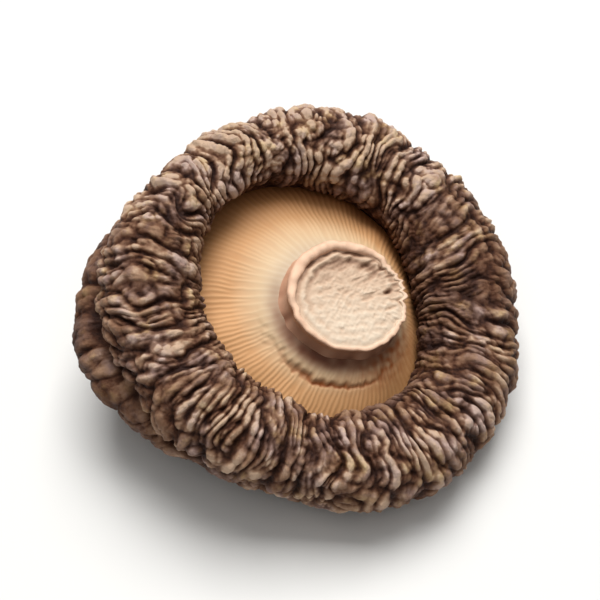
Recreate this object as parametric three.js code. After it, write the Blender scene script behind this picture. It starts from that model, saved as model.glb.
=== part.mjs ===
// A dried shiitake mushroom, lying on its dome with the gills up.
// Millimetres, +Z up. The origin is the centre of the flat patch of skin that the mushroom rests on.
// Each piece is shaped upright, with its axis along Z and the widest level of the cap at Z = 0.
// Then the whole mushroom leans, as a lopsided cap does when it is put down.

import * as THREE from 'three';
import { mergeVertices } from 'three/addons/utils/BufferGeometryUtils.js';

const degree = Math.PI / 180;
const turn = 2 * Math.PI;

// Driving dimensions.
const leanAngle = 21.6 * degree;          // of the axis from upright
const leanHeading = -37.7 * degree;       // the side it leans to, from +X towards +Y
const seat = new THREE.Vector3(-4.7, 2.4, 12.6); // the cap's middle from the origin, once leaning
const capRadius = 23.6;                   // to the outside of the rolled rim
const openingRadius = 13.6;               // inside the rolled rim
const crestHeight = 4.8;                  // of the rim's crest over the cap's widest level
const domeDepth = 14.5;                   // of the dome's top under that level
const domeFullness = 2.25;                // 2 is an ellipse, more is squarer
const domeSlant = 0.34;                   // how much thinner the dome is on the side it leans to
const footSoftness = 0.7;                 // how gently the skin leaves the flat patch
const lipEnd = 225 * degree;              // where the roll's section ends, under its lip
const underGills = -5.0;                  // level of the flesh that carries the gills and the stem
const gap = 0.3;                          // left between pieces that touch
const stemRadius = 6.8;
const stemWaist = 0.93;                   // its narrower width over its wider one
const stemPlace = new THREE.Vector2(3.0, 0.6);
const stemTop = 3.4;                      // level of the knife-cut face
const stemFlare = 0.5;                    // wider at the base
const gillsAtStem = -0.1;                 // level of the gills' edges beside the stem
const gillsAtMargin = -3.3;               // and out under the rolled lip
const gillsTuck = 0.9;                    // how far the gills reach under the lip
const gillsFall = 1.3;                    // 1 is a straight slope down to the margin, more is rounder
const ridges = 48;
const ridgeHeight = 0.24;                 // of the gills' blades, drawn coarser than they grow

// The unevenness of the cap. A wave is its times round the cap, its height and the angle of its crest.
const rimWaves = [[1, 0.8, 25], [3, 0.5, 62], [2, 0.3, 0]];
const lipWaves = [[1, 1.4, 70], [2, 0.6, -45]];
const crestWaves = [[2, 0.35, 110], [5, 0.3, 20]];
// A dent is its depth and the angle of its middle, then how wide an angle it takes.
const rimDents = [[1.3, 266, 24], [0.5, 138, 20]];
const lipLaps = [[1.9, 12, 34]];
// The shoulder's bulge and the fold over it also have a level and a height up the profile.
const bulge = { out: 3.4, middle: 192, width: 31, level: -7.2, tall: 4.4 };
const fold = { out: -1.4, middle: 207, width: 36, level: -2.0, tall: 1.3 };

// A smooth hump of height 1 that falls away over the given width.
function swell(away, width) {
  return Math.exp(-((away / width) ** 2));
}

// The same hump round the rim, where angles wrap, with its middle and width in degrees.
function hump(angle, middle, width) {
  const away = angle - middle * degree;
  return swell(Math.atan2(Math.sin(away), Math.cos(away)), width * degree);
}

function sumOfWaves(angle, waves) {
  return waves.reduce((sum, [times, height, crest]) => (
    sum + height * Math.cos(times * (angle - crest * degree))
  ), 0);
}

function sumOfDents(angle, dents) {
  return dents.reduce((sum, [depth, middle, width]) => sum + depth * hump(angle, middle, width), 0);
}

// The rim isn't round: it is flattened in two places and pulled out in others.
function rimRadius(angle) {
  return capRadius + sumOfWaves(angle, rimWaves) - sumOfDents(angle, rimDents);
}

// The opening is a long round one, set towards the back. Beside the stem the roll laps further in.
function lipRadius(angle) {
  return openingRadius + sumOfWaves(angle, lipWaves) - sumOfDents(angle, lipLaps);
}

// Drying lifts the crest in places.
function crestLevel(angle) {
  return crestHeight + sumOfWaves(angle, crestWaves);
}

// On the left a fold runs along under the roll, and the dome's shoulder bulges out below it.
function shoulder(angle, level) {
  return [bulge, fold].reduce((sum, { out, middle, width, level: at, tall }) => (
    sum + out * hump(angle, middle, width) * swell(level - at, tall)
  ), 0);
}

// A closed skin of rings. pointAt(angle, row) gives each point, with rows from 0 to the last one.
function ringedSolid(rows, columns, pointAt) {
  const rings = Array.from({ length: rows + 1 }, (_, row) => new THREE.Vector2(1, row));
  const skin = new THREE.LatheGeometry(rings, columns);
  const places = skin.attributes.position;
  for (let column = 0; column <= columns; column++) {
    for (let row = 0; row <= rows; row++) {
      const place = pointAt((column % columns) / columns * turn, row);
      places.setXYZ(column * (rows + 1) + row, place.x, place.y, place.z);
    }
  }
  skin.deleteAttribute('normal');
  skin.deleteAttribute('uv');
  const closed = mergeVertices(skin, 1e-3);
  closed.computeVertexNormals();
  return closed;
}

function around(angle, radius, level) {
  return new THREE.Vector3(radius * Math.cos(angle), radius * Math.sin(angle), level);
}

const heading = new THREE.Vector3(Math.cos(leanHeading), Math.sin(leanHeading), 0);
const axis = heading.clone().multiplyScalar(Math.sin(leanAngle)).setZ(Math.cos(leanAngle));
const lean = new THREE.Quaternion().setFromUnitVectors(new THREE.Vector3(0, 0, 1), axis);
const up = new THREE.Vector3(0, 0, 1).applyQuaternion(lean.clone().invert());

// Presses the skin flat where it would pass through the surface that the mushroom lies on.
function pressedFlat(place) {
  const height = place.dot(up) + seat.z;
  if (height >= footSoftness) {
    return place;
  }
  const pressed = height < -footSoftness ? 0 : (height + footSoftness) ** 2 / (4 * footSoftness);
  return place.addScaledVector(up, pressed - height);
}

// The cap: one skin from the dome's top, round the roll, under its lip and in over the flesh.
const domeRows = 18;
const rollRows = 14;
const fleshRows = 5;
const capRows = domeRows + rollRows + fleshRows;
const capColumns = 64;

function capPoint(angle, row) {
  const rim = rimRadius(angle);
  const section = (rim - lipRadius(angle)) / 2;
  if (row <= domeRows) {
    const sweep = row / domeRows * 90 * degree;
    const radius = rim * Math.sin(sweep) ** (2 / domeFullness);
    const slant = 1 - domeSlant * Math.cos(angle - leanHeading) * radius / rim;
    const level = -domeDepth * slant * Math.max(Math.cos(sweep), 0) ** (2 / domeFullness);
    return pressedFlat(around(angle, radius * (1 + shoulder(angle, level) / rim), level));
  }
  if (row <= domeRows + rollRows) {
    const sweep = (row - domeRows) / rollRows * lipEnd;
    const level = crestLevel(angle) * Math.sin(sweep);
    return around(angle, rim - section + section * Math.cos(sweep), level);
  }
  const inward = 1 - (row - domeRows - rollRows - 1) / (fleshRows - 1);
  return around(angle, (rim - section + section * Math.cos(lipEnd)) * inward, underGills);
}

// The gills: a ring round the stem, its top ridged by the blades' edges.
const gillTopRows = 6;
const gillRows = gillTopRows + 3;
const gillColumns = 2 * ridges;

function gillEdge(angle) {
  return lipRadius(angle) + gillsTuck;
}

// A point on the stem's side, or the given clearance away from it.
function besideStem(angle, level, clearance) {
  const flare = stemFlare * (stemTop - level) / (stemTop - underGills);
  const radius = stemRadius + flare + clearance;
  return new THREE.Vector3(
    stemPlace.x + radius * Math.cos(angle),
    stemPlace.y + radius * stemWaist * Math.sin(angle),
    level,
  );
}

// Rows 0 and 1 run outward underneath, the next ones inward over the top, and the last meets the first.
function gillPoint(angle, row) {
  const onTop = row > 1 && row < gillRows;
  const outward = row === 0 || row === gillRows ? 0 : Math.min(1, (gillRows - 1 - row) / gillTopRows);
  const place = besideStem(angle, underGills, gap).lerp(around(angle, gillEdge(angle), 0), outward);
  const ridge = ridgeHeight * (0.5 + 0.5 * Math.cos(ridges * angle)) * Math.sin(outward * Math.PI);
  const top = gillsAtStem + (gillsAtMargin - gillsAtStem) * outward ** gillsFall + ridge;
  place.z = onTop ? top : underGills + gap;
  return place;
}

// The stem: a short stub, cut across with a knife.
const stemRows = 6;
const stemColumns = 40;

function stemPoint(angle, row) {
  if (row === 0 || row === stemRows + 1) {
    return new THREE.Vector3(stemPlace.x, stemPlace.y, row === 0 ? underGills + gap : stemTop);
  }
  const level = underGills + gap + (stemTop - underGills - gap) * (row - 1) / (stemRows - 1);
  return besideStem(angle, level, 0);
}

function piece(name, geometry, color, roughness) {
  const mesh = new THREE.Mesh(geometry, new THREE.MeshStandardMaterial({ color, roughness, metalness: 0 }));
  mesh.name = name;
  return mesh;
}

const mushroom = new THREE.Group();
mushroom.add(piece('cap', ringedSolid(capRows, capColumns, capPoint), 0x6b4c3a, 0.85));
mushroom.add(piece('gills', ringedSolid(gillRows, gillColumns, gillPoint), 0xe0b27c, 0.8));
mushroom.add(piece('stem', ringedSolid(stemRows + 1, stemColumns, stemPoint), 0xf0dcc0, 0.8));
mushroom.quaternion.copy(lean);
mushroom.position.copy(seat);

const group = new THREE.Group();
group.add(mushroom);
export default group;
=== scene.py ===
import math

import bmesh
import bpy
import numpy as np
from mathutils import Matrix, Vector


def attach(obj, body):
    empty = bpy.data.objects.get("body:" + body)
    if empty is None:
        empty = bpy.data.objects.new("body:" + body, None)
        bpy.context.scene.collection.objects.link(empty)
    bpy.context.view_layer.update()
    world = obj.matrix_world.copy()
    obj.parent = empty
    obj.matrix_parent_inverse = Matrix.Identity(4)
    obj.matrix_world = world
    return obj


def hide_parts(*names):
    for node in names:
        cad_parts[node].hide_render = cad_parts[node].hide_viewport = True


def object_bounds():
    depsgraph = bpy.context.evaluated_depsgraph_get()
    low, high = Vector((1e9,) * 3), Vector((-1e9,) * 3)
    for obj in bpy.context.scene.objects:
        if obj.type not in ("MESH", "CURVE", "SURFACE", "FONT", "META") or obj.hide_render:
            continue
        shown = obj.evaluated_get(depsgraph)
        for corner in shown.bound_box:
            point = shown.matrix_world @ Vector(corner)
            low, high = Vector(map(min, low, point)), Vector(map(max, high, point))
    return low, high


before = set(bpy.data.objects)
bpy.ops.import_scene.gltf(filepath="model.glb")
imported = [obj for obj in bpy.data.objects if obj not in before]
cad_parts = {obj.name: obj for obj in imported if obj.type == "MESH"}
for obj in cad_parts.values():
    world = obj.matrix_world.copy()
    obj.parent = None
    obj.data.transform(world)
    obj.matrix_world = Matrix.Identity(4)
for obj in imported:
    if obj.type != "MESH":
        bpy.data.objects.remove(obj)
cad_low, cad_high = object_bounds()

# Cap.
# One piece of flesh under a thin leathery skin, dried whole. As it dries the margin rolls in over the gills
# and the skin wrinkles: in long folds across the roll, in knobs on its outside and in plates on the dome.

# Lengths are in millimetres. Each piece is shaped upright, with the cap's widest level at height 0. Then
# it leans, as a lopsided cap does when it is put down gills up.
MM = 0.001
LEAN = math.radians(21.6)
LEAN_HEADING = math.radians(-37.7)
SEAT = np.array([-4.7, 2.4, 12.6])
FOOT_SOFTNESS = 0.7

CAP_RADIUS = 23.6
OPENING_RADIUS = 13.6
CREST_HEIGHT = 4.8
DOME_DEPTH = 14.5
DOME_FULLNESS = 2.25
DOME_SLANT = 0.34
LIP_END = math.radians(225)
UNDER_GILLS = -5.0

# A wave is its times round the cap, its height and the angle of its crest, in degrees. A dent is its depth,
# the angle of its middle and how wide an angle it takes. On one side the dome's shoulder bulges out, with a
# fold over it, and these two also have a level and a height up the profile.
RIM_WAVES = [(1, 0.8, 25), (3, 0.5, 62), (2, 0.3, 0)]
RIM_DENTS = [(1.3, 266, 24), (0.5, 138, 20)]
LIP_WAVES = [(1, 1.4, 70), (2, 0.6, -45)]
LIP_LAPS = [(1.9, 12, 34)]
CREST_WAVES = [(2, 0.35, 110), (5, 0.3, 20)]
SHOULDER_BULGES = [(3.4, 192, 31, -7.2, 4.4), (-1.4, 207, 36, -2.0, 1.3)]

CAP_COLUMNS = 1280
DOME_ROWS = 190
ROLL_ROWS = 136
FLESH_ROWS = 6


def swell(away, width):
    """A smooth hump of height 1 that falls away over the given width."""
    return np.exp(-((away / width) ** 2))


def hump(angle, middle, width):
    """The same hump round the cap, where angles wrap, with its middle and width in degrees."""
    away = angle - math.radians(middle)
    return swell(np.arctan2(np.sin(away), np.cos(away)), math.radians(width))


def sum_of_waves(angle, waves):
    return sum(height * np.cos(times * (angle - math.radians(crest))) for times, height, crest in waves)


def sum_of_dents(angle, dents):
    return sum(depth * hump(angle, middle, width) for depth, middle, width in dents)


def rim_radius(angle):
    return CAP_RADIUS + sum_of_waves(angle, RIM_WAVES) - sum_of_dents(angle, RIM_DENTS)


def lip_radius(angle):
    return OPENING_RADIUS + sum_of_waves(angle, LIP_WAVES) - sum_of_dents(angle, LIP_LAPS)


def crest_level(angle):
    return CREST_HEIGHT + sum_of_waves(angle, CREST_WAVES)


def shoulder(angle, level):
    return sum(
        out * hump(angle, middle, width) * swell(level - at, tall)
        for out, middle, width, at, tall in SHOULDER_BULGES
    )


def around(angle, radius, level):
    """Places at the given angles, distances and levels from the middle of the cap."""
    return np.stack([radius * np.cos(angle), radius * np.sin(angle), level + 0 * angle], axis=-1)


def dome_surface(angle, sweep):
    """The dome, from its lowest point at sweep 0 up to the cap's widest level at a quarter turn."""
    rim = rim_radius(angle)
    radius = rim * np.sin(sweep) ** (2 / DOME_FULLNESS)
    slant = 1 - DOME_SLANT * np.cos(angle - LEAN_HEADING) * radius / rim
    level = -DOME_DEPTH * slant * np.maximum(np.cos(sweep), 0) ** (2 / DOME_FULLNESS)
    return around(angle, radius * (1 + shoulder(angle, level) / rim), level)


def roll_surface(angle, sweep):
    """The rolled margin, from the widest level at sweep 0 over its crest and in under its lip."""
    section = (rim_radius(angle) - lip_radius(angle)) / 2
    radius = rim_radius(angle) - section + section * np.cos(sweep)
    return around(angle, radius, crest_level(angle) * np.sin(sweep))


# The rows are evenly spaced over the skin, as measured up one profile, so that folds keep their size.
PROFILE_ANGLE = math.radians(60)
PROFILE_POINTS = 2001
fine_sweep = np.linspace(0, math.pi / 2, PROFILE_POINTS)
fine_dome = dome_surface(np.full(PROFILE_POINTS, PROFILE_ANGLE), fine_sweep)
fine_run = np.append(0, np.cumsum(np.linalg.norm(np.diff(fine_dome, axis=0), axis=1)))
dome_sweep = np.interp(np.linspace(0, fine_run[-1], DOME_ROWS + 1), fine_run, fine_sweep)[1:]
roll_sweep = np.linspace(0, LIP_END, ROLL_ROWS + 1)[1:]
column_angle = np.arange(CAP_COLUMNS) / CAP_COLUMNS * 2 * math.pi
skin = np.concatenate([
    dome_surface(*np.broadcast_arrays(column_angle[None], dome_sweep[:, None])),
    roll_surface(*np.broadcast_arrays(column_angle[None], roll_sweep[:, None])),
])
skin_level = skin[:, :, 2]

row_radius = np.linalg.norm(skin[:, :, :2], axis=2).mean(axis=1)
row_step = np.linalg.norm(np.diff(skin, axis=0), axis=2).mean(axis=1)
row_run = np.append(0, np.cumsum(row_step)) + row_step[0]
rim_run = row_run[DOME_ROWS - 1]
turns = np.fft.rfftfreq(CAP_COLUMNS, 1 / CAP_COLUMNS)


def soften(field, along, across):
    """Blurs a field on the skin by widths round the cap and up its profile, one for each row."""
    spectrum = np.fft.rfft(field, axis=1)
    spectrum *= np.exp(-((turns[None] * (along / row_radius)[:, None]) ** 2) / 2)
    nearness = np.exp(-((row_run[:, None] - row_run[None]) ** 2) / (2 * across[:, None] ** 2))
    nearness /= nearness.sum(axis=1, keepdims=True)
    return nearness @ np.fft.irfft(spectrum, n=CAP_COLUMNS, axis=1)


def above_local_mean(field, reach):
    reach = np.full(len(row_run), reach)
    return field - soften(field, reach, reach)


# How many times narrower the blurs are than the bumps and folds that they leave, how much further a fold
# presses on its neighbours than it is wide, and how hard and how full the folds are pressed.
BUMP_TO_BLUR = 4.5
FOLD_TO_BLUR = 2.86
PRESS_REACH = 1.6
PRESS_HARDNESS = 2.6
FULL_FOLD = 1.35


def rumple(spacing, seed):
    """Smooth random unevenness of about the given size, with a spread of 1."""
    noise = np.random.default_rng(seed).normal(size=skin_level.shape)
    width = np.full(len(row_run), spacing / BUMP_TO_BLUR)
    field = soften(noise, width, width)
    field -= field.mean()
    return field / np.sqrt(soften(field ** 2, width * 6, width * 6))


def shrink_folds(spacing, stretch, seed, rounds):
    """Folds that compete for room as the skin shrinks, as waves that pass through zero at every crease.

    The spacing is from crease to crease, and the stretch is how much longer a fold is up the profile than
    round the cap. Fewer rounds of shrinking leave the folds less even.
    """
    narrow = spacing / FOLD_TO_BLUR + np.zeros(len(row_run))
    wide = narrow * PRESS_REACH
    long = narrow * stretch
    pressed = np.random.default_rng(seed).normal(size=skin_level.shape)
    for _ in range(rounds):
        field = soften(pressed, narrow, long) - soften(pressed, wide, np.maximum(long, wide))
        field /= np.sqrt(soften(field ** 2, wide * 2, wide * 2)) + 1e-9
        pressed = np.tanh(PRESS_HARDNESS * field)
    return np.clip(field / FULL_FOLD, -1, 1)


def shifted(field, along):
    """The field moved round the cap by a distance that varies from place to place."""
    columns = np.arange(CAP_COLUMNS)[None] + along / (2 * math.pi * row_radius[:, None]) * CAP_COLUMNS
    left = np.floor(columns).astype(int)
    share = columns - left
    rows = np.arange(len(row_run))[:, None]
    return field[rows, left % CAP_COLUMNS] * (1 - share) + field[rows, (left + 1) % CAP_COLUMNS] * share


def creased(waves, width, power):
    """Turns waves into ridges, with a crease of the given width wherever the waves pass through zero.

    Less power makes the ridges flatter on top.
    """
    return (np.sqrt(waves ** 2 + width ** 2) - width) ** power


def up_the_profile(dome, rim, crest, lip):
    """A value for each row, from those low on the dome, at the widest level, on the crest and at the lip."""
    places = [rim_run - 6, rim_run, rim_run + 7, row_run[-1]]
    return np.interp(row_run, places, [dome, rim, crest, lip])


def ranked(field):
    """The same field with its values spread evenly from 0 to 1."""
    order = np.argsort(field, axis=None, kind="stable")
    ranks = np.empty(field.size)
    ranks[order] = np.linspace(0, 1, field.size)
    return ranks.reshape(field.shape)


# Long pleats run up over the roll, tight in most places and looser in some.
pleat_spacing = up_the_profile(1.8, 1.35, 1.0, 0.85)
pleat_stretch = up_the_profile(1.0, 1.5, 2.6, 2.8)
wander = 0.45 * rumple(6.0, 11) + 0.08 * rumple(2.2, 12)
tight_pleats = shrink_folds(pleat_spacing, pleat_stretch, 21, 6)
loose_pleats = shrink_folds(pleat_spacing * 1.5, pleat_stretch * 0.8, 24, 6)
loose_share = 1 / (1 + np.exp(1.6 - 4 * rumple(5.0, 33)))
pleats = shifted(tight_pleats * (1 - loose_share) + loose_pleats * loose_share, wander)
pleat_strength = np.clip(0.95 + 0.35 * rumple(3.0, 31), 0.25, 1.5)

# Under and between them lie broad lumps and knobs, and on the dome flat plates parted by narrow creases.
# The finest threads are really about a third as wide, and are drawn this coarse so that they show. Each kind
# has its depths low on the dome, at the widest level, on the crest and at the lip.
lumps = shifted(shrink_folds(3.2, 1.3, 22, 4), wander)
knobs = shrink_folds(1.8, 0.9, 23, 3)
threads = shrink_folds(0.575, 1.2, 25, 3)
plates = shifted(shrink_folds(2.5, 1.0, 26, 4), wander)
RELIEF = [
    (pleat_strength * creased(pleats, 0.12, 0.85), (0.10, 0.36, 0.46, 0.36)),
    (creased(lumps, 0.05, 0.6), (0.42, 0.62, 0.58, 0.25)),
    (creased(knobs, 0.08, 0.8), (0.14, 0.26, 0.24, 0.16)),
    (creased(plates, 0.03, 0.3), (0.5, 0.2, 0, 0)),
    (creased(threads, 0.1, 0.9), (0.05, 0.09, 0.09, 0.09)),
]
height = sum(up_the_profile(*depths)[:, None] * folds for folds, depths in RELIEF)
height += 0.025 * rumple(0.7, 44) + 0.2 * rumple(8.0, 41)
height -= height.mean()

# A gully parts the roll from the shoulder's bulge, and the relief fades out under the lip.
GULLY_DEPTH = 0.9
gully_level = 0.6 * rumple(7.0, 42) - 2.2
gully = hump(column_angle, 207, 42) * swell(skin_level - gully_level, 0.7)
height -= GULLY_DEPTH * gully * np.clip(0.8 + 0.4 * rumple(3.0, 43), 0, 1.5)
FADING_ROWS = 16
height[-FADING_ROWS:] *= np.linspace(1, 0, FADING_ROWS)[:, None]

# The tone is painted shade and light drawn from the relief: dark in the creases, pale on the ridges. It is
# plainer on the dome, with painted shade under the lip and the bulge, and painted light towards the far
# side and a little on the near side, with painted shade on the right.
tone = ranked(above_local_mean(height, 0.7) + 0.3 * above_local_mean(height, 2.2) + 0.035 * rumple(0.8, 51))
PLAIN_TONE = 0.47
tone += up_the_profile(0.45, 0.12, 0, 0)[:, None] * (PLAIN_TONE - tone)
# Painted shade on the inner wall under the lip.
lip_shade = np.clip((row_run - row_run[-1] + 7.6) / 5.5, 0, 1)[:, None]
# Painted shade on the dome under the bulge.
bulge_shade = hump(column_angle, 207, 55) * swell(skin_level + 7.5, 5.0)
# Painted light towards the far side and a little on the near side, and painted shade on the right.
painted_side_light = 0.9 + 0.6 * hump(column_angle, 100, 44) + 0.1 * hump(column_angle, 258, 42)
painted_side_light -= 0.12 * hump(column_angle, 5, 45)
weathered = 1 + 0.14 * rumple(2.0, 52) + 0.12 * rumple(6.0, 53)
tone *= (1 - 0.78 * lip_shade) * (1 - 0.5 * bulge_shade) * painted_side_light * weathered


def outward_from(grid):
    """The direction out of a grid of places whose columns go round and whose rows go up."""
    along = np.roll(grid, -1, axis=1) - np.roll(grid, 1, axis=1)
    across = np.gradient(grid, axis=0)
    normal = np.cross(along, across)
    return normal / np.linalg.norm(normal, axis=2, keepdims=True)


skin = skin + outward_from(skin) * height[:, :, None]
inward = np.linspace(1, 0, FLESH_ROWS + 1)[:-1]
lip_end = roll_surface(column_angle, np.full(CAP_COLUMNS, LIP_END))
flesh = np.stack([lip_end * [share_in, share_in, 0] + [0, 0, UNDER_GILLS] for share_in in inward])

sideways = math.sin(LEAN)
axis = Vector((math.cos(LEAN_HEADING) * sideways, math.sin(LEAN_HEADING) * sideways, math.cos(LEAN)))
LEANT = np.array(Vector((0, 0, 1)).rotation_difference(axis).to_matrix())


def lay_down(places):
    """Leans the places over, sets them on the floor and presses flat what would pass through it."""
    places = places @ LEANT.T + SEAT
    level = places[:, 2]
    pressed = np.where(level < -FOOT_SOFTNESS, 0, (level + FOOT_SOFTNESS) ** 2 / (4 * FOOT_SOFTNESS))
    places[:, 2] = np.where(level < FOOT_SOFTNESS, pressed, level)
    return places * MM


def grown_piece(name, places, faces, corner_uvs, fields):
    """A smooth mesh with its UVs, and with the values that its material reads."""
    mesh = bpy.data.meshes.new(name)
    mesh.from_pydata(lay_down(places).tolist(), [], faces)
    mesh.polygons.foreach_set("use_smooth", np.ones(len(mesh.polygons), bool))
    uv = mesh.uv_layers.new(name="OFBake")
    uv.data.foreach_set("uv", corner_uvs)
    for field, values in fields.items():
        layer = mesh.attributes.new(field, "FLOAT", "POINT")
        layer.data.foreach_set("value", values)
    piece = bpy.data.objects.new(name, mesh)
    bpy.context.collection.objects.link(piece)
    return piece


def ringed_piece(name, rows, low_pole, high_pole, **fields):
    """A closed piece from rows of places that go round, with a pole at each end."""
    count, columns = rows.shape[:2]
    places = np.concatenate([[low_pole], rows.reshape(-1, 3), [high_pole]])
    ring = np.arange(columns)
    after = (ring + 1) % columns
    base = 1 + np.arange(count - 1)[:, None] * columns
    quads = np.stack([base + ring, base + after, base + columns + after, base + columns + ring], axis=-1)
    top = 1 + (count - 1) * columns
    low_fan = np.stack([0 * ring, 1 + after, 1 + ring], axis=-1)
    high_fan = np.stack([top + ring, top + after, 0 * ring + len(places) - 1], axis=-1)
    u = ring / columns
    next_u = (ring + 1) / columns
    v = (1 + np.arange(count)) / (count + 1)
    low_v = v[:-1, None] + 0 * u
    high_v = v[1:, None] + 0 * u
    left_u = u[None] + 0 * low_v
    right_u = next_u[None] + 0 * low_v
    quad_uv = np.stack([left_u, low_v, right_u, low_v, right_u, high_v, left_u, high_v], axis=-1)
    low_uv = np.stack([u, 0 * u, next_u, 0 * u + v[0], u, 0 * u + v[0]], axis=-1)
    high_uv = np.stack([u, 0 * u + v[-1], next_u, 0 * u + v[-1], u, 0 * u + 1], axis=-1)
    return grown_piece(
        name, places,
        quads.reshape(-1, 4).tolist() + low_fan.tolist() + high_fan.tolist(),
        np.concatenate([quad_uv.ravel(), low_uv.ravel(), high_uv.ravel()]),
        {
            field: np.concatenate([[values[0].mean()], values.ravel(), [values[-1].mean()]])
            for field, values in fields.items()
        },
    )


cap = ringed_piece(
    "cap_skin", np.concatenate([skin, flesh]), [0, 0, -DOME_DEPTH], [0, 0, UNDER_GILLS],
    tone=np.concatenate([tone, np.zeros(flesh.shape[:2])]),
)


def linear(code):
    """An sRGB hex colour as the linear one that Blender works in."""
    channels = [int(code[i:i + 2], 16) / 255 for i in (1, 3, 5)]
    return [c / 12.92 if c <= 0.04045 else ((c + 0.055) / 1.055) ** 2.4 for c in channels] + [1.0]


def add(tree, kind, values=(), links=(), stops=(), **settings):
    """Adds a node, with values and links for its inputs, stops for its colours and its own settings."""
    node = tree.nodes.new(kind)
    for name, value in settings.items():
        setattr(node, name, value)
    for name, value in dict(values).items():
        node.inputs[name].default_value = value
    for name, source in dict(links).items():
        tree.links.new(source, node.inputs[name])
    stops = list(stops)
    if stops:
        elements = node.color_ramp.elements
        while len(elements) < len(stops):
            elements.new(0.5)
        for element, (place, code) in zip(elements, stops):
            element.position = place
            element.color = linear(code)
    return node


# Dried shiitake skin: thin brown leather, dull with a faint sheen. The eye sees tan ridges over nearly
# black creases, with painted light on the ridges and painted shade in the creases, and with ochre and mauve
# patches a few millimetres wide. Its grain is really about 0.15 mm, and its flecks are as fine. Both are
# drawn coarser so that they show.
SKIN_GRAIN = 0.55
SKIN_FLECK = 0.5
OCHRE_PATCH = 2.6
MAUVE_PATCH = 3.6
FLECK_STRENGTH = 0.45
GRAIN_DEPTH = 0.26
# Each row of colours runs from painted shade in the creases up to painted light on the ridge tops.
TONE_STEPS = (0.03, 0.2, 0.5, 0.8, 0.98)
BROWN = ("#2a1308", "#4c2d1d", "#765540", "#9a7a61", "#bda087")
OCHRE = ("#311909", "#573920", "#896949", "#ae8e67", "#cdb18a")
MAUVE = ("#24100a", "#42291f", "#694f44", "#8e7369", "#b69d91")

skin_finish = bpy.data.materials.new("dried shiitake skin")
skin_finish.use_nodes = True
tree = skin_finish.node_tree
shader = tree.nodes["Principled BSDF"]
shader.inputs["Roughness"].default_value = 0.64
shader.inputs["Specular IOR Level"].default_value = 0.16
by_place = {"Vector": add(tree, "ShaderNodeTexCoord").outputs["Object"]}
flecks = add(
    tree, "ShaderNodeTexNoise", {"Scale": 1 / (SKIN_FLECK * MM), "Detail": 3.0, "Roughness": 0.7}, by_place,
)
grown_tone = add(tree, "ShaderNodeAttribute", attribute_name="tone")
flecked = add(
    tree, "ShaderNodeMath", {1: FLECK_STRENGTH},
    {0: flecks.outputs["Fac"], 2: grown_tone.outputs["Fac"]}, operation="MULTIPLY_ADD",
)
toned = add(
    tree, "ShaderNodeMath", {1: FLECK_STRENGTH / 2}, {0: flecked.outputs["Value"]}, operation="SUBTRACT",
)
brown, ochre, mauve = [
    add(
        tree, "ShaderNodeValToRGB", links={"Fac": toned.outputs["Value"]},
        stops=zip(TONE_STEPS, colours),
    ).outputs["Color"]
    for colours in (BROWN, OCHRE, MAUVE)
]
ochre_noise = add(
    tree, "ShaderNodeTexNoise", {"Scale": 1 / (OCHRE_PATCH * MM), "Detail": 3.0, "Roughness": 0.6},
    by_place,
)
ochre_share = add(
    tree, "ShaderNodeValToRGB", links={"Fac": ochre_noise.outputs["Fac"]},
    stops=[(0.55, "#000000"), (0.72, "#ffffff")],
)
mauve_noise = add(
    tree, "ShaderNodeTexNoise", {"Scale": 1 / (MAUVE_PATCH * MM), "Detail": 4.0, "Roughness": 0.65},
    by_place,
)
mauve_share = add(
    tree, "ShaderNodeValToRGB", links={"Fac": mauve_noise.outputs["Fac"]},
    stops=[(0.46, "#000000"), (0.62, "#ffffff")],
)
# A Mix node takes its share as input 0 and its colours as 6 and 7, and gives the mixed one as output 2.
with_mauve = add(
    tree, "ShaderNodeMix", links={0: mauve_share.outputs["Color"], 6: brown, 7: mauve}, data_type="RGBA",
)
with_ochre = add(
    tree, "ShaderNodeMix", links={0: ochre_share.outputs["Color"], 6: with_mauve.outputs[2], 7: ochre},
    data_type="RGBA",
)
tree.links.new(with_ochre.outputs[2], shader.inputs["Base Color"])
grain = add(
    tree, "ShaderNodeTexNoise", {"Scale": 1 / (SKIN_GRAIN * MM), "Detail": 5.0, "Roughness": 0.7}, by_place,
)
bump = add(
    tree, "ShaderNodeBump", {"Strength": 0.9, "Distance": GRAIN_DEPTH * MM},
    {"Height": grain.outputs["Fac"]},
)
tree.links.new(bump.outputs["Normal"], shader.inputs["Normal"])
cap.data.materials.append(skin_finish)
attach(cap, "root")
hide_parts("cap")

# Gills.
# Thin upright blades of pale flesh that run from the stem out under the rolled rim, dried papery and
# golden. Short blades start part of the way out, so that the gaps between them stay alike.

STEM_PLACE = (3.0, 0.6)
STEM_RADIUS = 6.8
STEM_WAIST = 0.93
STEM_TOP = 3.4
STEM_FLARE = 0.5
GAP = 0.3
GILLS_AT_STEM = -0.1
GILLS_AT_MARGIN = -3.3
GILLS_FALL = 1.3
GILLS_TUCK = 1.4
MEETING_LEVEL = -0.4
INTO_STEM = 0.1

# Long and short blades together stand about 0.7 mm apart at the margin.
LONG_BLADES = 62
BLADE_EDGE = 0.2
BLADE_DEPTH = 0.075
LOWEST_BLADE = 0.72
SHORT_BLADE_STARTS = (0.05, 0.55)
SAG_DEPTH = 0.12

# On the near side a smooth collar of flesh lies round the stem, with a crease below it.
COLLAR_WIDTH = 2.3
COLLAR_HEIGHT = 0.4
COLLAR_EDGE = 0.16
CREASE_DEPTH = 0.35

GILL_COLUMNS = LONG_BLADES * 20
GILL_ROWS = 56


def beside_stem(angle, level, clearance=0.0):
    """Places on the stem's side, or the given clearance away from it."""
    flare = STEM_FLARE * (STEM_TOP - level) / (STEM_TOP - UNDER_GILLS)
    radius = STEM_RADIUS + flare + clearance
    x = STEM_PLACE[0] + radius * np.cos(angle)
    y = STEM_PLACE[1] + radius * STEM_WAIST * np.sin(angle)
    return np.stack([x, y, level + 0 * angle], axis=-1)


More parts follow.
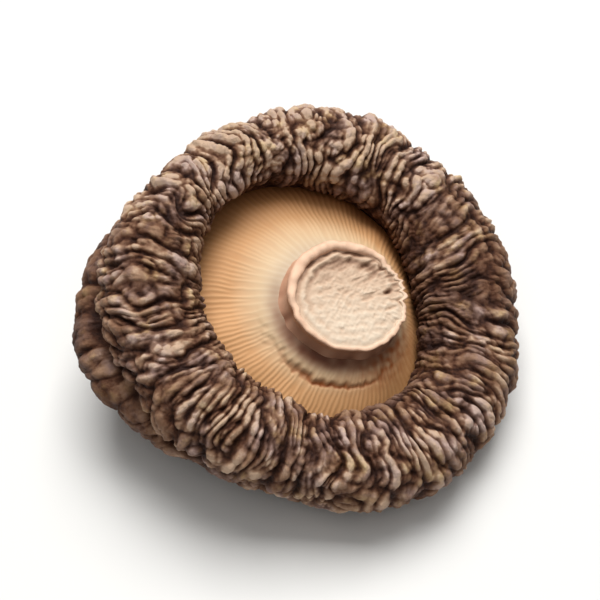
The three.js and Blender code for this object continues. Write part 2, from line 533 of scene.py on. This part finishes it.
def ripple(places, spacing, seed):
    """Smooth unevenness at any places, with bumps of about the given size and a spread of about 1."""
    chance = np.random.default_rng(seed)
    waves = 40
    directions = chance.normal(size=(waves, 3))
    directions /= np.linalg.norm(directions, axis=1, keepdims=True)
    pace = 2 * math.pi / spacing * chance.uniform(0.6, 1.4, size=(waves, 1))
    phases = chance.uniform(0, 2 * math.pi, size=waves)
    return np.cos(places @ (directions * pace).T + phases).sum(axis=-1) / math.sqrt(waves / 2)


gill_angle = np.arange(GILL_COLUMNS) / GILL_COLUMNS * 2 * math.pi
outward_share = np.linspace(1, 0, GILL_ROWS)[:, None]
inner = beside_stem(gill_angle, MEETING_LEVEL, -INTO_STEM)
outer = around(gill_angle, lip_radius(gill_angle) + GILLS_TUCK, 0)
gill_top = inner + (outer - inner) * outward_share[:, :, None]
gill_top[:, :, 2] = GILLS_AT_STEM + (GILLS_AT_MARGIN - GILLS_AT_STEM) * outward_share ** GILLS_FALL
gill_radius = np.linalg.norm(gill_top[:, :, :2] - STEM_PLACE, axis=2)
sway = 0.07 * ripple(gill_top, 5.0, 51) + 0.03 * ripple(gill_top, 2.0, 52)
swayed_angle = gill_angle + sway / gill_radius


def blade_edges(offset, seed):
    """Heights from 0 to 1 of a set of blades, no two alike, and which blade each place belongs to."""
    turn = LONG_BLADES * swayed_angle / (2 * math.pi) - offset
    number = np.round(turn)
    blade = number.astype(int) % LONG_BLADES
    tallness = np.random.default_rng(seed).uniform(LOWEST_BLADE, 1.0, size=LONG_BLADES)[blade]
    away = (turn - number) * 2 * math.pi * gill_radius / LONG_BLADES
    return tallness * swell(away, BLADE_EDGE), blade


long_edges, _ = blade_edges(0, 61)
short_edges, short_blade = blade_edges(0.5, 62)
short_start = np.random.default_rng(63).uniform(*SHORT_BLADE_STARTS, size=LONG_BLADES)[short_blade]
short_edges *= np.clip((outward_share - short_start) / 0.12, 0, 1)
edges = np.maximum(long_edges, short_edges)

# Blades stand up less near the stem, and end just before the margin.
standing = np.clip((1 - outward_share) / 0.08, 0, 1) * np.clip(outward_share / 0.5, 0.1, 1)
gill_top[:, :, 2] += BLADE_DEPTH * (edges - 1) * standing + SAG_DEPTH * ripple(gill_top, 6.0, 53)

off_stem = gill_radius - np.linalg.norm(beside_stem(gill_angle, 0)[:, :2] - STEM_PLACE, axis=1)
collar_edge = COLLAR_WIDTH + 0.3 * ripple(gill_top, 4.0, 54) + 0.1 * ripple(gill_top, 0.9, 55)
collar = hump(gill_angle, -105, 50) / (1 + np.exp((off_stem - collar_edge) / COLLAR_EDGE))
crease_below = hump(gill_angle, -92, 36) * swell(off_stem - collar_edge - 0.25, 0.3)
gill_top[:, :, 2] += COLLAR_HEIGHT * collar - CREASE_DEPTH * crease_below
gill_under = np.stack([edge * [1, 1, 0] + [0, 0, UNDER_GILLS + GAP] for edge in (inner, outer)])

# Painted shade on the gills: brown round the stem's foot, most on the near side; a painted shadow of the
# stem on the gills to its lower right; painted shade in the crease below the collar; and at the far margin
# painted shade under the roll, browned as by light thrown off it.
# Painted shade round the stem's foot, most on the near side.
bruise = 0.95 * swell(off_stem - 0.4, 1.0) * (0.1 + 0.9 * hump(gill_angle, -108, 62))
bruise *= 1 + 0.12 * ripple(gill_top, 1.6, 56)
# Painted shadow of the stem on the gills to its lower right.
stem_shadow = 0.7 * swell(off_stem - 1.6, 2.2) * hump(gill_angle, -38, 34)
stem_shadow *= 1 + 0.2 * ripple(gill_top, 1.0, 57)
# Painted shade under the roll at the far margin.
margin_stain = swell(1 - outward_share, 0.34) * hump(gill_angle, 75, 75)
stain = 0.95 * margin_stain + crease_below + 0.8 * bruise + stem_shadow


def looped_piece(name, rows, **fields):
    """A ring-shaped piece from rows of places that go round, with the last row joining the first."""
    count, columns = rows.shape[:2]
    ring = np.arange(columns)
    after = (ring + 1) % columns
    row = np.arange(count)[:, None]
    base = row * columns
    upper = (row + 1) % count * columns
    quads = np.stack([base + ring, base + after, upper + after, upper + ring], axis=-1)
    low_v = row / count + 0 * ring
    high_v = low_v + 1 / count
    left_u = ring / columns + 0 * low_v
    right_u = (ring + 1) / columns + 0 * low_v
    corners = np.stack([left_u, low_v, right_u, low_v, right_u, high_v, left_u, high_v], axis=-1)
    return grown_piece(
        name, rows.reshape(-1, 3), quads.reshape(-1, 4).tolist(), corners.ravel(),
        {field: values.ravel() for field, values in fields.items()},
    )


under = np.zeros((2, GILL_COLUMNS))
gills = looped_piece(
    "gill_blades", np.concatenate([gill_under, gill_top]),
    edge=np.concatenate([under, edges]),
    stain=np.concatenate([under, np.clip(stain, 0, 1)]),
    bruise=np.concatenate([under, np.clip(bruise, 0, 1)]),
    outward=np.concatenate([under, outward_share + 0 * edges]),
)

# Dried gill flesh: thin, papery and matt. The eye sees pale edges of blades over gaps with painted shade,
# ivory beside the stem and golden further out, with brown painted shade round the stem's foot, in the
# crease, at the far margin and in a painted shadow of the stem.
OUT_STEPS = (0.0, 0.22, 0.5, 1.0)
EDGE_COLOURS = ("#c8bca4", "#cbb08b", "#c99a6a", "#c68e57")
GAP_SHADE_COLOURS = ("#c2b49a", "#c5a782", "#c18f5e", "#bb834c")
# Colours of the painted shade on the gills.
GILL_SHADE_COLOUR = "#8f4e1e"
FOOT_SHADE_COLOUR = "#603319"

gill_finish = bpy.data.materials.new("dried gill flesh")
gill_finish.use_nodes = True
tree = gill_finish.node_tree
shader = tree.nodes["Principled BSDF"]
shader.inputs["Roughness"].default_value = 0.7
edge_share, out_share, stain_share, bruise_share = [
    add(tree, "ShaderNodeAttribute", attribute_name=field).outputs["Fac"]
    for field in ("edge", "outward", "stain", "bruise")
]
edge_colour, gap_shade_colour = [
    add(
        tree, "ShaderNodeValToRGB", links={"Fac": out_share}, stops=zip(OUT_STEPS, colours),
    ).outputs["Color"]
    for colours in (EDGE_COLOURS, GAP_SHADE_COLOURS)
]
bladed = add(
    tree, "ShaderNodeMix", links={0: edge_share, 6: gap_shade_colour, 7: edge_colour}, data_type="RGBA",
)
stained = add(
    tree, "ShaderNodeMix", {7: linear(GILL_SHADE_COLOUR)}, {0: stain_share, 6: bladed.outputs[2]},
    data_type="RGBA",
)
bruised = add(
    tree, "ShaderNodeMix", {7: linear(FOOT_SHADE_COLOUR)}, {0: bruise_share, 6: stained.outputs[2]},
    data_type="RGBA",
)
tree.links.new(bruised.outputs[2], shader.inputs["Base Color"])
gills.data.materials.append(gill_finish)
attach(gills, "root")
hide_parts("gills")

# Stem.
# A short stub of tough, fibrous flesh, trimmed across with a knife before drying. The cut dried a
# little hollow, its rim curled up into a paler tan ring, and one side tore instead of cutting.

STEM_COLUMNS = 384
STEM_SIDE_ROWS = 48
STEM_RIM_ROWS = 20
STEM_FACE_ROWS = 72

stem_angle = np.arange(STEM_COLUMNS) / STEM_COLUMNS * 2 * math.pi
centre = np.array([*STEM_PLACE, 0.0])
at_gills = beside_stem(stem_angle, 0)

# On the torn side the rim doesn't curl, and the edge is ragged.
TEAR_DEPTH = 0.62
torn = hump(stem_angle, 12, 34)
curled = np.clip(0.1 + 0.95 * hump(stem_angle, 122, 82), 0, 1) * (1 - 0.85 * torn)
teeth = 0.3 + 0.3 * ripple(at_gills, 2.4, 75) + 0.5 * ripple(at_gills, 1.1, 77)
teeth += 0.2 * ripple(at_gills, 0.55, 79)
folds_down = ripple(at_gills, 1.7, 74)
outline = (0.05 * folds_down * (1 - torn) - TEAR_DEPTH * torn * teeth) / STEM_RADIUS


def stem_ring(level):
    """Rings of places round the stem, with its folds, its torn edge, its waist and its spread foot."""
    spread = 1 + outline * np.clip((level + 1.5) / (STEM_TOP + 1.5), 0.35, 1)
    spread = spread + 0.045 * swell(level + 0.4, 0.6) * (1 + 0.1 * folds_down)
    spread = spread + 0.025 * swell(level - STEM_TOP + 0.3, 0.7) - 0.05 * swell(level - 1.3, 1.0)
    ring = beside_stem(stem_angle[None], level) - centre
    return centre + ring * np.stack([spread, spread, 1 + 0 * spread], axis=-1)


RIM_WIDTH = 1.25
RIM_HEIGHT = 0.5
side_level = np.linspace(UNDER_GILLS + GAP, STEM_TOP - RIM_HEIGHT, STEM_SIDE_ROWS)[:, None]
side = stem_ring(side_level)

# The rim turns over from the side to the face, wide and high where it curled and low where it tore.
rim_width = RIM_WIDTH * (0.35 + 0.65 * curled) * (1 + 0.1 * ripple(at_gills, 3.0, 80))
rim_height = RIM_HEIGHT * (0.25 + 0.75 * curled) * (1 + 0.16 * ripple(at_gills, 1.4, 76))
turn_over = np.linspace(0, math.pi, STEM_RIM_ROWS + 1)[1:, None]
top_ring = stem_ring(STEM_TOP + 0 * turn_over) - centre
reach = 1 - rim_width / 2 * (1 - np.cos(turn_over)) / STEM_RADIUS
rim = centre + top_ring * np.stack([reach, reach, 1 + 0 * reach], axis=-1)
rim[:, :, 2] = STEM_TOP - RIM_HEIGHT + rim_height * np.sin(turn_over)

# The face lies lower than the rim and rises a little away from it, past two grooves with a low second ring
# between them.
FACE_RISE = 0.2
GROOVE_DEPTH = 0.16
SECOND_RING_HEIGHT = 0.2
MIDDLE_SHARE = 0.01
face_reach = 1 - rim_width / STEM_RADIUS
face_share = np.maximum(face_reach * np.linspace(1, 0, STEM_FACE_ROWS + 1)[1:, None], MIDDLE_SHARE)
face = centre + top_ring[:1] * np.stack([face_share, face_share, 1 + 0 * face_share], axis=-1)
off_rim = (face_reach - face_share) * STEM_RADIUS
groove = (swell(off_rim - 0.2, 0.24) + 0.7 * swell(off_rim - 1.3, 0.3)) * curled
second_ring = swell(off_rim - 0.75, 0.3) * curled
face[:, :, 2] = rim[-1, :, 2] + FACE_RISE * (1 - np.exp(-off_rim / 0.8))
face[:, :, 2] += SECOND_RING_HEIGHT * second_ring - GROOVE_DEPTH * groove

# The knife left marks along its stroke, three times as long as they are wide, and one small pit.
STROKE = math.radians(32)
SCORE_DEPTH = 0.17
MOTTLE_DEPTH = 0.025
PIT_DEPTH = 0.55
FRAY_DEPTH = 0.25
from_middle = face - centre
face_x = from_middle[:, :, 0]
face_y = from_middle[:, :, 1]
along_cut = face_x * math.cos(STROKE) + face_y * math.sin(STROKE)
across_cut = face_y * math.cos(STROKE) - face_x * math.sin(STROKE)
cut_places = np.stack([along_cut / 3, across_cut, 0 * along_cut], axis=-1)
scored = np.minimum(ripple(cut_places, 1.2, 71) + 0.5 * ripple(cut_places, 0.6, 72), 0.1)
scored *= np.clip(0.25 + 0.16 * face_y + 0.06 * face_x, 0.08, 1)
mottle = ripple(face, 1.0, 73) + 0.6 * ripple(face, 0.5, 78)
pit = swell(along_cut - 4.6, 0.7) * swell(across_cut + 1.5, 0.24)
frayed = torn * np.exp(-off_rim / 1.2) * teeth
face[:, :, 2] += (SCORE_DEPTH * scored + MOTTLE_DEPTH * mottle) * (1 - np.exp(-off_rim / 0.5))
face[:, :, 2] -= PIT_DEPTH * pit + FRAY_DEPTH * frayed

# The side pales from its brown foot up to the rim. On the face, painted shade fills the grooves, knife marks
# and pit, the low second ring gets painted light, painted shade darkens it towards +y, and it is darker
# along the torn edge.
up_side = np.clip(side_level / (STEM_TOP - RIM_HEIGHT), 0, 1)
side_pale = 0.12 + 0.8 * up_side ** 0.8 + 0.07 * folds_down
side_pale += 0.3 * swell(side_level + 0.3, 0.7) * (0.3 + 0.7 * hump(stem_angle, 130, 100))
over = np.linspace(0, 1, STEM_RIM_ROWS)[:, None]
rim_pale = 0.7 + 0.3 * np.sin(over * math.pi) + 0.05 * ripple(rim, 0.9, 81)
rim_cut = np.clip(1.6 * over - 0.3 - 1.2 * curled, 0, 1)
far_side_shade = np.clip(0.5 + 0.15 * face_y - 0.03 * face_x, 0, 1)
face_pale = 0.93 - 0.5 * groove - 0.9 * pit - 0.3 * frayed + 0.04 * mottle
face_pale += 0.2 * scored + 0.12 * second_ring - 0.33 * far_side_shade
stem = ringed_piece(
    "stem_stub", np.concatenate([side, rim, face]), [*STEM_PLACE, UNDER_GILLS + GAP], face[-1].mean(axis=0),
    pale=np.clip(np.concatenate([side_pale, rim_pale, face_pale]), 0, 1),
    cut=np.concatenate([0 * side_pale, rim_cut, 1 + 0 * face_pale]),
)

# Dried stem flesh: tough, fibrous and matt. The eye sees a rind of warm tan that is browner at its foot,
# round a greyer, cream-coloured heart. Its fibres are really about 0.1 mm, and are drawn coarser to show.
STEM_FIBRE = 0.4
FIBRE_DEPTH = 0.08
PALE_STEPS = (0.0, 0.35, 0.7, 1.0)
RIND = ("#70412a", "#b5866a", "#d3a88b", "#dfb99c")
HEART = ("#5c3a22", "#a08068", "#c6aa90", "#d6c3ac")

stem_finish = bpy.data.materials.new("dried stem flesh")
stem_finish.use_nodes = True
tree = stem_finish.node_tree
shader = tree.nodes["Principled BSDF"]
shader.inputs["Roughness"].default_value = 0.75
pale_share, cut_share = [
    add(tree, "ShaderNodeAttribute", attribute_name=field).outputs["Fac"] for field in ("pale", "cut")
]
rind, heart = [
    add(
        tree, "ShaderNodeValToRGB", links={"Fac": pale_share}, stops=zip(PALE_STEPS, colours),
    ).outputs["Color"]
    for colours in (RIND, HEART)
]
colour = add(tree, "ShaderNodeMix", links={0: cut_share, 6: rind, 7: heart}, data_type="RGBA")
tree.links.new(colour.outputs[2], shader.inputs["Base Color"])
by_place = {"Vector": add(tree, "ShaderNodeTexCoord").outputs["Object"]}
fibres = add(
    tree, "ShaderNodeTexNoise", {"Scale": 1 / (STEM_FIBRE * MM), "Detail": 3.0, "Roughness": 0.6}, by_place,
)
bump = add(
    tree, "ShaderNodeBump", {"Strength": 0.4, "Distance": FIBRE_DEPTH * MM},
    {"Height": fibres.outputs["Fac"]},
)
tree.links.new(bump.outputs["Normal"], shader.inputs["Normal"])
stem.data.materials.append(stem_finish)
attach(stem, "root")
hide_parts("stem")

# Surroundings.
# A matt white board under the mushroom, a large soft light over and behind it, a weaker one in front, and
# pale studio walls far off. Here lengths are in metres. Azimuth 0 is the side that the camera is on.

BOARD_HALF = 1.0
BOARD_WHITE = "#d6d5d2"
WALL_WHITE = "#f4f4f4"
WALL_DISTANCE = 3.0
WALL_GLOW = 0.85
ROOM_LIGHT = 0.19

floor_mesh = bpy.data.meshes.new("floor")
floor_corners = [(x * BOARD_HALF, y * BOARD_HALF, 0) for x, y in ((-1, -1), (1, -1), (1, 1), (-1, 1))]
floor_mesh.from_pydata(floor_corners, [], [(0, 1, 2, 3)])
floor = bpy.data.objects.new("floor", floor_mesh)
bpy.context.collection.objects.link(floor)

# White board with a matt coat: it shows soft shadows and no reflections.
floor_finish = bpy.data.materials.new("matt white board")
floor_finish.use_nodes = True
floor_shader = floor_finish.node_tree.nodes["Principled BSDF"]
floor_shader.inputs["Base Color"].default_value = linear(BOARD_WHITE)
floor_shader.inputs["Roughness"].default_value = 0.8
floor_mesh.materials.append(floor_finish)

middle = (cad_low + cad_high) / 2


def aim_at_middle(thing, azimuth, elevation, distance):
    """Puts a light or the camera at a distance from the mushroom, facing its middle."""
    side = math.radians(azimuth)
    rise = math.radians(elevation)
    away = Vector((math.sin(side) * math.cos(rise), -math.cos(side) * math.cos(rise), math.sin(rise)))
    thing.location = middle + away * distance
    thing.rotation_mode = "QUATERNION"
    thing.rotation_quaternion = (-away).to_track_quat("-Z", "Y")
    bpy.context.collection.objects.link(thing)


SOFTBOXES = [
    {"name": "key", "azimuth": 178, "elevation": 68, "distance": 1.20, "width": 0.78, "power": 20.5},
    {"name": "fill", "azimuth": 0, "elevation": 72, "distance": 1.35, "width": 1.20, "power": 5.2},
]
for softbox in SOFTBOXES:
    light = bpy.data.lights.new(softbox["name"], "AREA")
    light.size = softbox["width"]
    light.energy = softbox["power"]
    lamp = bpy.data.objects.new(softbox["name"], light)
    aim_at_middle(lamp, softbox["azimuth"], softbox["elevation"], softbox["distance"])

# A little light comes from all round, as from white walls.
world = bpy.data.worlds.new("studio")
bpy.context.scene.world = world
world.use_nodes = True
sky = world.node_tree.nodes["Background"]
sky.inputs["Color"].default_value = linear(WALL_WHITE)
sky.inputs["Strength"].default_value = ROOM_LIGHT

# Painted walls, far off: an even pale ground behind the mushroom in low views. They give it no light.
walls_mesh = bpy.data.meshes.new("studio_walls")
shell = bmesh.new()
bmesh.ops.create_uvsphere(shell, u_segments=48, v_segments=24, radius=WALL_DISTANCE)
shell.to_mesh(walls_mesh)
shell.free()
walls = bpy.data.objects.new("studio_walls", walls_mesh)
bpy.context.collection.objects.link(walls)
for sight in ("diffuse", "glossy", "transmission", "volume_scatter", "shadow"):
    setattr(walls, "visible_" + sight, False)
wall_finish = bpy.data.materials.new("pale wall")
wall_finish.use_nodes = True
wall_shader = wall_finish.node_tree.nodes["Principled BSDF"]
wall_shader.inputs["Base Color"].default_value = linear("#000000")
wall_shader.inputs["Specular IOR Level"].default_value = 0.0
wall_shader.inputs["Emission Color"].default_value = linear(WALL_WHITE)
wall_shader.inputs["Emission Strength"].default_value = WALL_GLOW
walls_mesh.materials.append(wall_finish)

# The camera looks down on the gills from the front, through a long lens.
CAMERA_ELEVATION = 55
CAMERA_DISTANCE = 0.158
camera = bpy.data.objects.new("camera", bpy.data.cameras.new("camera"))
camera.data.lens = 85
camera.data.clip_start = 0.01
aim_at_middle(camera, 0, CAMERA_ELEVATION, CAMERA_DISTANCE)
bpy.context.scene.camera = camera
bpy.context.scene.view_settings.view_transform = "Standard"
